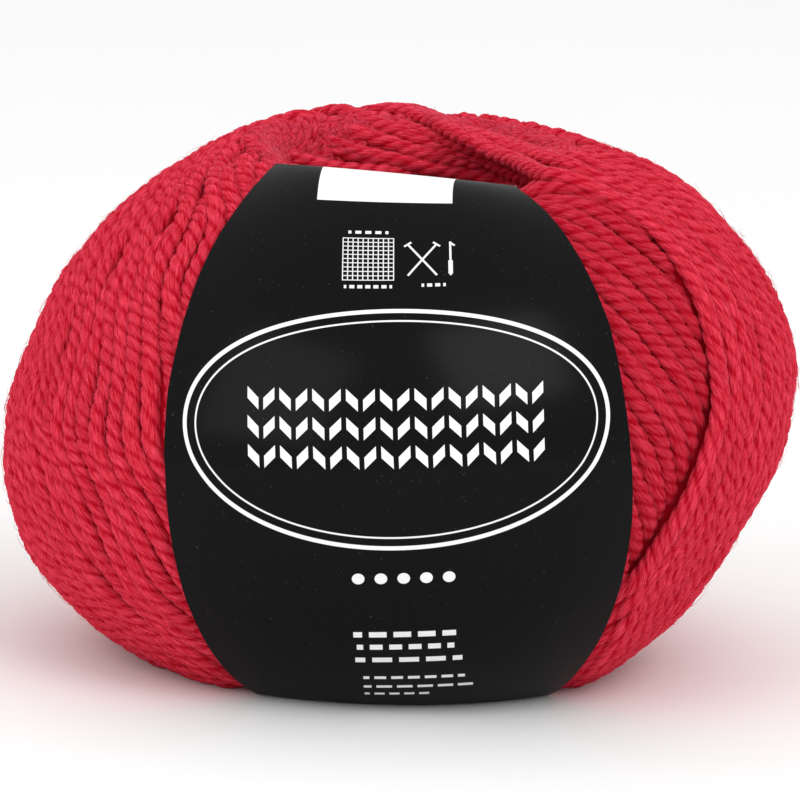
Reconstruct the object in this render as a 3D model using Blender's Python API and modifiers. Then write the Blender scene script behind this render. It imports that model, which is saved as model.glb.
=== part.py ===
"""Ball of yarn with a paper band.

A machine-wound ball: a ring of thick yarn, as wide as a hand, around an open
centre hole. It stands on the lower rim of the ring. A die-cut card band wraps
the front of the ring, runs under it and comes back up through the hole.

The frame: +Z is up along the hole, the front with the band faces -Y, and +X is
to the right. The origin is on the floor under the middle of the ball.

A point of the ring is given by two angles. The azimuth goes around the hole,
counterclockwise seen from above, and the front is at -90 degrees. The section
angle goes around the ring's own section: 0 at the widest level, 90 on the top
crest, 180 inside the hole and -90 on the bottom crest.
"""

from math import pi, radians

import bmesh
import bpy
import numpy as np

# Driving dimensions of the wound ring, in metres. The crest is the circle where
# the ring is highest. The ring is a little higher on the right and lower on the
# left at its widest level.
BALL_RADIUS = 0.0648
CREST_RADIUS = 0.030
HOLE_RADIUS = 0.0155
UPPER_HEIGHT = 0.045
LOWER_HEIGHT = 0.045
SIDE_LEAN = 0.0041

# How full the section is: 2 is an ellipse, less is leaner and more is squarer.
UPPER_FULLNESS = 1.55
LOWER_FULLNESS = 1.9
HOLE_FULLNESS = 2.6

# The ball's own weight presses its lower rim flat and its twists calm there.
FLAT_DEPTH = 0.0015
CALM_REACH = radians(40)

# The winding. The yarn goes around in loops that pass beside the hole, so one
# half of the ball shows strands that lean one way and the other half shows
# strands that lean the other way, laid over them from a stepped edge.
TWIST_COUNT = 30
TWIST_HEIGHT = 0.0013
LAYER_HEIGHT = 0.0026
EDGE_BEND = radians(-6)
GROOVE_WIDTH = radians(3.2)
RIGHT_HALF = {
    "starts": radians(-41.5),
    "lean": radians(20),
    "step_width": radians(5),
    "groove_before": 0.0018,
}
LEFT_HALF = {
    "starts": radians(138.5),
    "lean": radians(-24),
    "step_width": radians(16),
    "groove_before": 0,
}

# Section angles between which the twists fade out towards the hole.
TWISTS_FADE_FROM = radians(95)
TWISTS_FADE_TO = radians(125)

# The card band: a front panel that covers the same angle at every level, and a
# strap in the hole. It sits a little askew and its edges stand off the yarn.
BAND_THICKNESS = 0.001
BAND_GAP = 0.0006
BAND_HALF_ANGLE = radians(34.6)
STRAP_HALF_WIDTH = 0.016
BAND_SKEW = 0.0024
SKEW_FADE = (-0.6, 0.4)
BAND_EDGE_LIFT = 0.0007
DENT_FADE = 0.005

# The band is tight, so it presses the ring's top in, and the yarn beside it.
BAND_PRESS = 0.0042
PRESS_MIDDLE = radians(95)
PRESS_REACH = radians(75)
PRESS_FADE = 0.016

# How finely the solids are faceted.
AZIMUTH_STEPS = 144
SECTION_STEPS = 34
BAND_STEPS_ACROSS = 12
BAND_STEPS_ALONG = 72
NORMAL_STEP = radians(1.5)
MERGE_DISTANCE = 0.00001

FRONT = radians(-90)
MIDDLE_HEIGHT = LOWER_HEIGHT - FLAT_DEPTH


def clear_scene():
    for old in list(bpy.data.objects):
        bpy.data.objects.remove(old)


def smooth_step(low, high, value):
    part = np.clip((value - low) / (high - low), 0, 1)
    return part * part * (3 - 2 * part)


def section_profile(section):
    """Distance from the hole's axis and height over the widest level."""
    outward = np.cos(section)
    upward = np.sin(section)
    outside = outward > 0
    fullness = np.where(upward > 0, UPPER_FULLNESS, LOWER_FULLNESS)
    fullness = np.where(outside, fullness, HOLE_FULLNESS)
    width = np.where(outside, BALL_RADIUS - CREST_RADIUS, CREST_RADIUS - HOLE_RADIUS)
    height = np.where(upward > 0, UPPER_HEIGHT, LOWER_HEIGHT)
    radius = CREST_RADIUS + width * np.sign(outward) * np.abs(outward) ** (2 / fullness)
    level = height * np.sign(upward) * np.abs(upward) ** (2 / fullness)
    return radius, level


def section_normal(section):
    """Outward direction of the section, from two points just beside this one."""
    radius_after, level_after = section_profile(section + NORMAL_STEP)
    radius_before, level_before = section_profile(section - NORMAL_STEP)
    along_radius = radius_after - radius_before
    along_level = level_after - level_before
    length = np.hypot(along_radius, along_level)
    return along_level / length, -along_radius / length


def ring_point(azimuth, section, raised):
    """A point raised this far over the plain ring, with the floor at height 0."""
    radius, level = section_profile(section)
    normal_radius, normal_level = section_normal(section)
    radius = radius + raised * normal_radius
    lean = SIDE_LEAN * np.cos(azimuth) * np.clip(np.cos(section), 0, 1)
    level = level + raised * normal_level + lean + MIDDLE_HEIGHT
    return np.stack([radius * np.cos(azimuth), radius * np.sin(azimuth), level], axis=-1)


def band_half_width(section):
    """Half the band's width: a wide panel at the front, a strap in the hole."""
    radius, _ = section_profile(section)
    panel = radius * BAND_HALF_ANGLE
    return (panel**4 + STRAP_HALF_WIDTH**4) ** 0.25


def band_centre(section):
    """How far the band's middle lies to the right, level with this section angle."""
    outside = smooth_step(*SKEW_FADE, np.cos(section))
    return -BAND_SKEW * np.sin(section) * outside


def beside_band(azimuth, section):
    """Distance along the surface to the band's edge, negative under the band."""
    radius, _ = section_profile(section)
    turned = (azimuth - FRONT + pi) % (2 * pi) - pi
    across = np.abs(turned * radius - band_centre(section))
    return across - band_half_width(section)


def band_press(section):
    """How far the tight band pulls the ring's top in."""
    from_middle = np.abs((section - PRESS_MIDDLE + pi) % (2 * pi) - pi)
    return BAND_PRESS * (1 - smooth_step(0, PRESS_REACH, from_middle))


def first_strand(half, section):
    """Azimuth of the newest strand of a half, which lies over the other half."""
    turn = section / (pi / 2)
    return half["starts"] + half["lean"] * turn + EDGE_BEND * turn * turn


def half_height(half, azimuth, section, since_edge, span, next_half):
    """Twists of one half, falling from its newest strand to its oldest one."""
    turn = section / (pi / 2)
    age = since_edge / span
    settled = smooth_step(0, half["step_width"], since_edge)
    layer = LAYER_HEIGHT * ((1 - age) * settled - 0.5)
    before_next = (span - since_edge) / GROOVE_WIDTH
    groove = next_half["groove_before"] * np.exp(-(before_next**2))
    twists = np.cos(TWIST_COUNT * (azimuth - half["lean"] * turn))
    return layer - groove + 0.5 * TWIST_HEIGHT * twists


def winding_height(azimuth, section):
    """Twists, layers and stepped edges over the plain ring."""
    right_edge = first_strand(RIGHT_HALF, section)
    right_span = (first_strand(LEFT_HALF, section) - right_edge) % (2 * pi)
    after_right = (azimuth - right_edge) % (2 * pi)
    right = half_height(
        RIGHT_HALF, azimuth, section, after_right, right_span, LEFT_HALF
    )
    left_span = 2 * pi - right_span
    left = half_height(
        LEFT_HALF, azimuth, section, after_right - right_span, left_span, RIGHT_HALF
    )
    height = np.where(after_right < right_span, right, left)
    outside = 1 - smooth_step(TWISTS_FADE_FROM, TWISTS_FADE_TO, np.abs(section))
    off_floor = smooth_step(0, CALM_REACH, np.abs(section + pi / 2))
    return height * outside * off_floor


def yarn_points(azimuth, section):
    beside = beside_band(azimuth, section)
    free = smooth_step(0, DENT_FADE, beside - BAND_EDGE_LIFT)
    raised = free * winding_height(azimuth, section) - (1 - free) * BAND_GAP
    pressed = 1 - smooth_step(0, PRESS_FADE, beside)
    raised = raised - pressed * band_press(section)
    points = ring_point(azimuth, section, raised)
    under_band = 1 - smooth_step(DENT_FADE / 2, DENT_FADE, beside)
    floor = (BAND_THICKNESS + BAND_GAP) * under_band
    points[:, 2] = np.maximum(points[:, 2], floor)
    return points


def make_material(name, colour, roughness):
    material = bpy.data.materials.new(name)
    material.use_nodes = True
    shader = material.node_tree.nodes["Principled BSDF"]
    shader.inputs["Base Color"].default_value = (*colour, 1)
    shader.inputs["Roughness"].default_value = roughness
    shader.inputs["Metallic"].default_value = 0
    return material


def mesh_coordinates(mesh):
    flat = np.empty(len(mesh.vertices) * 3, np.float32)
    mesh.vertices.foreach_get("co", flat)
    return flat.reshape(-1, 3).astype(np.float64)


def move_points(mesh, points):
    mesh.vertices.foreach_set("co", points.astype(np.float32).ravel())
    mesh.update()


def build_yarn_ball(collection):
    """A torus whose points are moved onto the wound form."""
    bpy.ops.mesh.primitive_torus_add(
        major_segments=AZIMUTH_STEPS,
        minor_segments=SECTION_STEPS,
        major_radius=CREST_RADIUS,
        minor_radius=HOLE_RADIUS,
    )
    ball = bpy.context.object
    ball.name = "yarn_ball"
    ball.data.name = "yarn_ball"
    old = mesh_coordinates(ball.data)
    azimuth = np.arctan2(old[:, 1], old[:, 0])
    from_crest = np.hypot(old[:, 0], old[:, 1]) - CREST_RADIUS
    section = np.arctan2(old[:, 2], from_crest)
    move_points(ball.data, yarn_points(azimuth, section))
    ball.data.shade_smooth()
    ball.data.materials.append(make_material("yarn", (0.55, 0.02, 0.05), 0.95))
    for other in list(ball.users_collection):
        other.objects.unlink(ball)
    collection.objects.link(ball)
    return ball


def build_paper_band(collection):
    """A flat strip, bent around the ring until its two ends meet in the hole."""
    strip = bmesh.new()
    bmesh.ops.create_grid(
        strip, x_segments=BAND_STEPS_ACROSS, y_segments=BAND_STEPS_ALONG, size=1
    )
    mesh = bpy.data.meshes.new("paper_band")
    strip.to_mesh(mesh)
    strip.free()
    flat = mesh_coordinates(mesh)
    section = flat[:, 1] * pi
    radius, _ = section_profile(section)
    across = flat[:, 0] * band_half_width(section) + band_centre(section)
    raised = BAND_THICKNESS / 2 + BAND_EDGE_LIFT * flat[:, 0] ** 4 - band_press(section)
    points = ring_point(FRONT + across / radius, section, raised)
    points[:, 2] = np.maximum(points[:, 2], BAND_THICKNESS / 2)
    move_points(mesh, points)
    loop = bmesh.new()
    loop.from_mesh(mesh)
    bmesh.ops.remove_doubles(loop, verts=loop.verts, dist=MERGE_DISTANCE)
    bmesh.ops.recalc_face_normals(loop, faces=loop.faces)
    loop.to_mesh(mesh)
    loop.free()
    mesh.shade_smooth()
    band = bpy.data.objects.new("paper_band", mesh)
    collection.objects.link(band)
    thickness = band.modifiers.new("Card thickness", "SOLIDIFY")
    thickness.thickness = BAND_THICKNESS
    thickness.offset = 0
    mesh.materials.append(make_material("card", (0.01, 0.01, 0.01), 0.45))
    return band


def main():
    clear_scene()
    collection = bpy.data.collections.new("ball_of_yarn")
    bpy.context.scene.collection.children.link(collection)
    build_yarn_ball(collection)
    build_paper_band(collection)


main()
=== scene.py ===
# %% [markdown]
# # A ball of yarn with a card band
#
# The real thing is about 120 m of thick plied yarn, wound by a machine into a
# ring around an open centre hole. A die-cut card band holds it. The packed
# model gives the ring and the band as two plain solids. This script dresses
# them: every strand that shows is wound again as a plied strand of yarn, and
# the card gets its true thickness, its satin finish and its print.

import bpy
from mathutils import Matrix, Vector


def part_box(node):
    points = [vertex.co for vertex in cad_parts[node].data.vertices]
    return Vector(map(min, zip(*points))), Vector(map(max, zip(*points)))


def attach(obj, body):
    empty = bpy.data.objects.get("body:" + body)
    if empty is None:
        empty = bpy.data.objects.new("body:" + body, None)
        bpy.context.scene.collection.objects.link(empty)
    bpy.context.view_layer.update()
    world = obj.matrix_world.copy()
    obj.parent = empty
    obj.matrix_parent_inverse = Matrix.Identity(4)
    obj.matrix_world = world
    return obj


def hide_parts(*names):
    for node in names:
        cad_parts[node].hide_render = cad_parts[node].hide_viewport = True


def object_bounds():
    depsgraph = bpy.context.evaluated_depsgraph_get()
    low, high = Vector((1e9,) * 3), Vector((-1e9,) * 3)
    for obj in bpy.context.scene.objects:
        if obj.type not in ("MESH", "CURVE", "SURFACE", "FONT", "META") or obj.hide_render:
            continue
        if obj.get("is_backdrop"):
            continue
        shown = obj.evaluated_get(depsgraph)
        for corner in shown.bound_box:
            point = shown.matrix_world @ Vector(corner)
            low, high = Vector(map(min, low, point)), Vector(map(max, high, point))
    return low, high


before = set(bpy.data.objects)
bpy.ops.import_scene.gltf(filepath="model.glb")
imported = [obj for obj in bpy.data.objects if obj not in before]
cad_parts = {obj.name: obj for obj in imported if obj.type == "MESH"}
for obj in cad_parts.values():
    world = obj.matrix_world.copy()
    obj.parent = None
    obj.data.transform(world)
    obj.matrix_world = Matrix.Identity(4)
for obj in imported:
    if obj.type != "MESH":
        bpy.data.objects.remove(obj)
cad_low, cad_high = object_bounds()
print("packed nodes:", sorted(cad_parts))

# %% Everything else that the script uses
from math import cos, pi, radians, sin, tau

import bmesh
import bpy
import numpy as np
from mathutils import Matrix, Vector

# %% [markdown]
# ## A few small helpers
#
# Points and UV maps are read and written here as whole arrays, which is many
# times faster than going from point to point. Most pieces start as one flat
# grid, because a grid can be rolled up or bent into nearly anything.

# %% Objects, grids and their arrays
def add_object(name, data):
    """A new object in the scene, at the origin and unturned."""
    added = bpy.data.objects.new(name, data)
    bpy.context.scene.collection.objects.link(added)
    return added


def flat_grid(name, columns, rows, half_size=1):
    grid = bmesh.new()
    bmesh.ops.create_grid(grid, x_segments=columns, y_segments=rows, size=half_size)
    mesh = bpy.data.meshes.new(name)
    grid.to_mesh(mesh)
    grid.free()
    return mesh


def mesh_coordinates(mesh):
    flat = np.empty(len(mesh.vertices) * 3, np.float32)
    mesh.vertices.foreach_get("co", flat)
    return flat.reshape(-1, 3).astype(np.float64)


def move_points(mesh, points):
    mesh.vertices.foreach_set("co", points.astype(np.float32).ravel())
    mesh.update()


def corner_vertices(mesh):
    """The vertex that each corner of each face stands on."""
    corners = np.empty(len(mesh.loops), np.int32)
    mesh.loops.foreach_get("vertex_index", corners)
    return corners


def add_uv_map(mesh, name, across, along):
    """A UV map, from one value of each array for every corner."""
    values = np.stack([across, along], axis=1).astype(np.float32)
    mesh.uv_layers.new(name=name).data.foreach_set("uv", values.ravel())


# %% [markdown]
# ## The camera
#
# A long lens from a metre away keeps the ball's sides nearly parallel, as in a
# catalogue picture. The camera looks down a little, so the far side of the
# hole shows over the band, and it is rolled by two degrees because the ball
# leans that much in the picture.

# %% Camera
VIEW_DISTANCE = 1.1
VIEW_ELEVATION = radians(10.5)
VIEW_ROLL = radians(2.2)
VIEW_TARGET = Vector((0, 0, 0.0435))
LENS_MM = 293
NEAREST_SEEN = 0.05

camera_data = bpy.data.cameras.new("camera")
camera_data.lens = LENS_MM
camera_data.clip_start = NEAREST_SEEN
camera = add_object("camera", camera_data)
towards_viewer = Vector((0, -cos(VIEW_ELEVATION), sin(VIEW_ELEVATION)))
aim = (-towards_viewer).to_track_quat("-Z", "Y").to_matrix()
aim = aim @ Matrix.Rotation(VIEW_ROLL, 3, "Z")
camera_place = VIEW_TARGET + towards_viewer * VIEW_DISTANCE
camera.matrix_world = Matrix.Translation(camera_place) @ aim.to_4x4()
bpy.context.scene.camera = camera
print("camera at", tuple(round(part, 3) for part in camera.location))

# %% [markdown]
# ## The ring's form
#
# The yarn lies on a ring, so a place on it is given by two angles. The azimuth
# goes around the hole, counterclockwise from above, with the front at -90
# degrees. The section angle goes around the ring's own section: 0 at the
# widest level, 90 on the top crest, 180 in the hole and -90 on the bottom
# crest. These are the part's own sizes and formulas of the plain ring, so that
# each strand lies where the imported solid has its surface.

# %% Sizes of the ring
BALL_RADIUS = 0.0648
CREST_RADIUS = 0.030
HOLE_RADIUS = 0.0155
UPPER_HEIGHT = 0.045
LOWER_HEIGHT = 0.045
SIDE_LEAN = 0.0041
UPPER_FULLNESS = 1.55
LOWER_FULLNESS = 1.9
HOLE_FULLNESS = 2.6
FLAT_DEPTH = 0.0015
MIDDLE_HEIGHT = LOWER_HEIGHT - FLAT_DEPTH
NORMAL_STEP = radians(1.5)


def smooth_step(low, high, value):
    part = np.clip((value - low) / (high - low), 0, 1)
    return part * part * (3 - 2 * part)


def wrapped(angle):
    """The same angle between -180 and 180 degrees."""
    return (angle + pi) % tau - pi


def section_profile(section):
    """Distance from the hole's axis and height over the widest level."""
    outward = np.cos(section)
    upward = np.sin(section)
    outside = outward > 0
    fullness = np.where(upward > 0, UPPER_FULLNESS, LOWER_FULLNESS)
    fullness = np.where(outside, fullness, HOLE_FULLNESS)
    width = np.where(outside, BALL_RADIUS - CREST_RADIUS, CREST_RADIUS - HOLE_RADIUS)
    height = np.where(upward > 0, UPPER_HEIGHT, LOWER_HEIGHT)
    radius = CREST_RADIUS + width * np.sign(outward) * np.abs(outward) ** (2 / fullness)
    level = height * np.sign(upward) * np.abs(upward) ** (2 / fullness)
    return radius, level


def section_normal(section):
    radius_after, level_after = section_profile(section + NORMAL_STEP)
    radius_before, level_before = section_profile(section - NORMAL_STEP)
    along_radius = radius_after - radius_before
    along_level = level_after - level_before
    length = np.hypot(along_radius, along_level)
    return along_level / length, -along_radius / length


def outward_normal(azimuth, section):
    normal_radius, normal_level = section_normal(section)
    return np.stack(
        [normal_radius * np.cos(azimuth), normal_radius * np.sin(azimuth), normal_level],
        axis=-1,
    )


def ring_point(azimuth, section, raised):
    """A point raised this far over the plain ring, with the floor at height 0."""
    radius, level = section_profile(section)
    normal_radius, normal_level = section_normal(section)
    radius = radius + raised * normal_radius
    lean = SIDE_LEAN * np.cos(azimuth) * np.clip(np.cos(section), 0, 1)
    level = level + raised * normal_level + lean + MIDDLE_HEIGHT
    return np.stack([radius * np.cos(azimuth), radius * np.sin(azimuth), level], axis=-1)


low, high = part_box("yarn_ball")
print("ring is", round((high[0] - low[0]) * 1000, 1), "mm wide")

# %% [markdown]
# ## Where the card band lies
#
# The band is a panel that covers the same angle of the ring at every level and
# narrows to a strap in the hole. It is tight, so it presses the ring's top in.
# Its two side edges aren't quite alike, so each has a table of how much wider
# the card is there. The strands need to know all this, as they dip under it.
#
# The plain ring is a little too full at its shoulders. Two tables, one for the
# right side and one for the left, say how far the yarn lies over the plain ring
# at each section angle, and both fade out towards the front and the back.

# %% The band's outline, how it presses the yarn and the shape of the sides
FRONT = radians(-90)
BAND_HALF_ANGLE = radians(34.6)
STRAP_HALF_WIDTH = 0.016
BAND_SKEW = 0.0024
SKEW_FADE = (-0.6, 0.4)
BAND_EDGE_LIFT = 0.0007
DENT_FADE = 0.005
BAND_PRESS = 0.0043
PRESS_TILT = 0.28
PRESS_MIDDLE = radians(95)
PRESS_REACH = radians(75)
PRESS_FADE = 0.016
EDGE_SECTIONS = np.radians(
    [-112, -90, -72, -55, -45, -30, -15, 0, 13, 20, 27, 33, 45, 55, 65, 75, 90, 112]
)
LEFT_EDGE_MM = [
    0, -1.6, -2.2, -1.0, -0.6, -0.2, -0.2, -0.3, 0.2, 0.8, 1.1, 1.5, 2.2, 2.4, 2.1, 2.1, 2.8, 0,
]
RIGHT_EDGE_MM = [
    0, 1.8, 1.8, 1.4, 1.6, 1.4, 0.9, -0.2, 0, 0.2, 0.6, 1.0, 1.0, 0.9, 0.4, -0.5, -0.2, 0,
]
SHAPE_SECTIONS = np.radians(
    [-90, -75, -60, -45, -30, -15, 0, 10, 20, 35, 50, 60, 70, 79, 90, 100, 120]
)
RIGHT_SHAPE_MM = [
    0, -0.8, -1.8, -2.4, -2.6, -0.7, 0, 0.9, 1.2, 0.8, 0, -0.9, -2.2, -2.6, -1.5, -0.8, 0,
]
LEFT_SHAPE_MM = [
    0, -0.8, -0.9, 0, 1.3, 1.3, 0, -0.3, -0.7, -0.4, -0.9, -1.8, -2.6, -2.6, -2.0, -1.0, 0,
]
RIGHT_SHAPE_POWER = 1.5
LEFT_SHAPE_POWER = 3


def edge_share(section, left_share, right_share):
    """The two edge tables, added up with these shares."""
    left = np.interp(section, EDGE_SECTIONS, LEFT_EDGE_MM, left=0)
    right = np.interp(section, EDGE_SECTIONS, RIGHT_EDGE_MM, left=0)
    return (left_share * left + right_share * right) / 1000


def band_half_width(section):
    """Half the band's width: a wide panel at the front, a strap in the hole."""
    radius, _ = section_profile(section)
    panel = radius * BAND_HALF_ANGLE
    return (panel**4 + STRAP_HALF_WIDTH**4) ** 0.25 + edge_share(section, 0.5, 0.5)


def band_centre(section):
    """How far the band's middle lies to the right, level with this section angle."""
    outside = smooth_step(*SKEW_FADE, np.cos(section))
    return -BAND_SKEW * np.sin(section) * outside + edge_share(section, -0.5, 0.5)


def beside_band(azimuth, section):
    """Distance along the surface to the band's edge, negative under the band."""
    radius, _ = section_profile(section)
    across = np.abs(wrapped(azimuth - FRONT) * radius - band_centre(section))
    return across - band_half_width(section)


def band_press(azimuth, section):
    """How far the tight band pulls the ring's top in, more on its right than its left."""
    from_middle = np.abs(wrapped(section - PRESS_MIDDLE))
    tilted = BAND_PRESS * (1 + PRESS_TILT * np.cos(azimuth))
    return tilted * (1 - smooth_step(0, PRESS_REACH, from_middle))


def side_shape(azimuth, section):
    """How far the yarn lies over the plain ring on its right and its left."""
    right = np.clip(np.cos(azimuth), 0, 1) ** RIGHT_SHAPE_POWER
    left = np.clip(-np.cos(azimuth), 0, 1) ** LEFT_SHAPE_POWER
    raised = right * np.interp(section, SHAPE_SECTIONS, RIGHT_SHAPE_MM)
    raised = raised + left * np.interp(section, SHAPE_SECTIONS, LEFT_SHAPE_MM)
    return raised / 1000


# %% [markdown]
# ## How the yarn is wound
#
# Each turn of the yarn goes up one side of the ring, swings around the hole,
# comes down the other side and swings around the hole again under the ring.
# The winder turns the ball a little after each turn, so the next one lies
# beside it. Seen from outside, one half of the ball shows the rising sides,
# which lean one way, and the other half shows the falling sides, which lean
# the other way. Where the newest turn meets the oldest there is a stepped edge.
#
# A taut string on a turned shape keeps its distance from the axis times the
# sine of its slant the same. Real yarn strays from that rule because it grips,
# so that product changes a little with the height: "products" names it, in
# metres, at each of the section angles below. The oldest rising sides bend less
# near the crest, so their table ends differently. Over the two crests a strand
# leaves the ring and spans the hole in a straight line, as taut yarn does. How
# far from the axis it passes changes a little with its age.

# %% The two halves of the winding
TURNS_PER_HALF = 53
TURN_COUNT = 84
LAYER_HEIGHT = 0.0020
PRODUCT_SECTIONS = np.radians([-90, -60, -31, 0, 20, 34, 50, 70, 90])
RIGHT = {
    "starts": radians(-38.5),
    "way": 1,
    "products": np.array([0.016, 0.032, 0.030, 0.022, 0.014, 0.008, -0.010, -0.012, 0.010]),
    "old_products": np.array([0.016, 0.032, 0.030, 0.022, 0.015, 0.009, 0.000, 0.004, 0.012]),
}
LEFT_PRODUCTS = np.array([0.018, 0.024, 0.026, 0.028, 0.026, 0.024, 0.022, 0.020, 0.018])
LEFT = {
    "starts": radians(138.5),
    "way": -1,
    "products": LEFT_PRODUCTS,
    "old_products": LEFT_PRODUCTS,
}
STEEPEST_SINE = 0.97
PRODUCT_BLEND = 41
STEPS_PER_QUARTER = 361
OLD_SLANT_SHARE = 0.10
OLD_SLANT_AGES = radians(105), radians(165)
OLD_PRODUCT_AGES = radians(12), radians(50)
CLOSING_FROM = radians(56)
PASS_AGES = np.radians([0, 15, 30, 45, 60, 80, 130, 160])
PASSES = np.array([0.0128, 0.0165, 0.0178, 0.0174, 0.0162, 0.0152, 0.0152, 0.0140])
PASS_BELOW = 0.0190
PASS_WANDER = 0.0009
SPAN_STEPS = 121
WAVE_COUNT = 3
SLOWEST_WAVE = 0.6
WAVE_STEP = 0.55
WAVE_SPREAD = (0.8, 1.2)

rng = np.random.default_rng(11)


def wander(rows, positions, wavelength):
    """Slow smooth waves, different for each row, within about -1 to 1."""
    total = np.zeros((rows, len(positions)))
    for wave in range(WAVE_COUNT):
        speed = tau / wavelength * (SLOWEST_WAVE + WAVE_STEP * wave)
        speed = speed * rng.uniform(*WAVE_SPREAD, (rows, 1))
        total += np.sin(positions * speed + rng.uniform(0, tau, (rows, 1)))
    return total / 2


print("one turn in", round(pi / TURNS_PER_HALF * 180 / pi, 1), "degrees")

# %% [markdown]
# ## How far a strand swings around the hole
#
# From the strand's slant at each height follows how far it swings around the
# hole on its way from the widest level to a crest. The two sides of a turn have
# to leave just the span between them, so the falling side gives way a little
# near the crest.

# %% The path of a turn
def quarter_swing(half, sign, oldness, slant_scale):
    """How far a strand swings from the widest level up or down to the crest."""
    section = np.linspace(0, pi / 2, STEPS_PER_QUARTER)
    products = half["products"] + (half["old_products"] - half["products"]) * oldness
    product = slant_scale * np.interp(sign * section, PRODUCT_SECTIONS, products)
    kernel = np.hanning(PRODUCT_BLEND)
    padded = np.pad(product, PRODUCT_BLEND // 2, mode="edge")
    product = np.convolve(padded, kernel / kernel.sum(), mode="valid")
    radius, level = section_profile(sign * section)
    length = np.hypot(np.diff(radius), np.diff(level))
    middle_radius = (radius[1:] + radius[:-1]) / 2
    middle_product = (product[1:] + product[:-1]) / 2
    sine = np.clip(middle_product / middle_radius, -STEEPEST_SINE, STEEPEST_SINE)
    step = sine / np.sqrt(1 - sine * sine) / middle_radius * length
    return section, np.concatenate([[0], np.cumsum(step)])


def both_swings(sign, passing, age):
    """Swings of both halves that leave just the span over the hole between them."""
    oldness = smooth_step(*OLD_PRODUCT_AGES, age)
    slant_scale = 1 + OLD_SLANT_SHARE * smooth_step(*OLD_SLANT_AGES, age)
    section, right = quarter_swing(RIGHT, sign, oldness, 1)
    _, left = quarter_swing(LEFT, sign, oldness, slant_scale)
    span = 2 * np.arccos(passing / CREST_RADIUS)
    between = LEFT["starts"] - RIGHT["starts"]
    between = between if sign > 0 else tau - between
    left_needed = between - span - right[-1]
    closing = smooth_step(CLOSING_FROM, pi / 2, section)
    return section, right, left + (left_needed - left[-1]) * closing


def turn_angles(passing_above, passing_below, age):
    """Section angles and azimuths of a turn on the ring: its rising and falling side."""
    section, right_up, left_up = both_swings(1, passing_above, age)
    _, right_down, left_down = both_swings(-1, passing_below, age)
    sections = np.concatenate([-section[::-1], section[1:]])
    rising = np.concatenate([-right_down[::-1], right_up[1:]])
    falling = np.concatenate([-left_down[::-1], left_up[1:]])
    return (
        sections,
        RIGHT["starts"] + RIGHT["way"] * rising,
        LEFT["starts"] + LEFT["way"] * falling,
    )


newest_sections, newest_rising, newest_falling = turn_angles(PASSES[0], PASS_BELOW, 0)


def newest_edge(on_right, section):
    """Azimuth of the newest strand of a half at a section angle."""
    return np.interp(section, newest_sections, newest_rising if on_right else newest_falling)


print("the newest strand crosses the top crest at azimuth",
      np.degrees(newest_edge(True, pi / 2)).round(1), "and",
      np.degrees(newest_edge(False, pi / 2)).round(1))

# %% [markdown]
# ## Which strands stay on top
#
# There is room for all the strands side by side only around the widest level.
# Towards the hole there is less and less room, so one strand after another
# dives under its neighbours, which close the gap. Each turn gets a rank from
# 0 to 1, spread evenly by steps of the golden ratio, and it stays on top while
# there is room for its rank. The strands on top share the space: a strand's
# place is the sum of the widths of the newer strands before it.

# %% Ranks, room and each strand's place
STRAND_WIDTH = 0.0033
GOLDEN_STEP = 0.618034
RANK_START = 0.02
DIVE_SPREAD = 0.10
SLANT_AT_MIDDLE = 0.022
LEAST_COSINE = 0.35
LEAST_ROOM = 0.42
UNEVENNESS = 0.12
UNEVEN_WAVE = radians(70)
GRID_STEPS = 281
LARGEST_SECTION = radians(90)

rank = (RANK_START + GOLDEN_STEP * np.arange(TURN_COUNT)) % 1
section_grid = np.linspace(-LARGEST_SECTION, LARGEST_SECTION, GRID_STEPS)
grid_radius, _ = section_profile(section_grid)
slant_sine = np.clip(SLANT_AT_MIDDLE / grid_radius, 0, 1)
slant_cosine = np.maximum(np.sqrt(1 - slant_sine**2), LEAST_COSINE)
room = pi / TURNS_PER_HALF * grid_radius * slant_cosine / STRAND_WIDTH
room = np.maximum(room, LEAST_ROOM)
on_top = smooth_step(rank[:, None] - DIVE_SPREAD, rank[:, None] + DIVE_SPREAD, room)
uneven = 1 + UNEVENNESS * wander(TURN_COUNT, section_grid, UNEVEN_WAVE)
width_share = on_top * uneven
place = np.cumsum(width_share, axis=0) - width_share / 2
place -= place[0]
place *= pi / place[TURNS_PER_HALF]
print("room for", room.max().round(2), "to", room.min().round(2), "of the strands")

# %% [markdown]
# ## How high each strand lies
#
# A strand's height over the plain ring follows from its age: the newest turn
# lies a whole layer over the oldest. A strand that passes under the other
# half's newer strands goes down by its own thickness, and there is a groove
# beside each stepped edge. Near the band all the strands are pressed in.

# %% Layers, stepped edges and the press of the band
STRAND_HALF_WIDTH = 0.00193
STRAND_HALF_HEIGHT = 0.0015
CALM_REACH = radians(40)
FADE_FROM = radians(95)
FADE_TO = radians(125)
TOP_FLATTENING = 0.5
TOP_SECTIONS = radians(28), radians(60)
EDGE_BEFORE = radians(1.6)
EDGE_AFTER = radians(1.2)
AGE_BLEND = radians(12)
GROOVE_WIDTH = radians(4.5)
GROOVE_SECTIONS = np.radians([-60, -20, 5, 25, 38])
RIGHT_GROOVE = np.array([0.0014, 0.0015, 0.0008, 0.0002, 0.0])
LEFT_GROOVE = np.array([0.0006, 0.0006, 0.0006, 0.0003, 0.0])
UNDER_CARD = 0.0003


def unit(vectors):
    return vectors / np.linalg.norm(vectors, axis=-1, keepdims=True)


def fade_of_layers(section):
    """Layers fade out in the hole, at the top and where the ball rests on its rim."""
    outside = 1 - smooth_step(FADE_FROM, FADE_TO, np.abs(section))
    flatter = 1 - TOP_FLATTENING * smooth_step(*TOP_SECTIONS, section)
    return outside * flatter * smooth_step(0, CALM_REACH, np.abs(section + pi / 2))


def layer_height(age):
    return LAYER_HEIGHT * (0.5 - age / pi)


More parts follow.
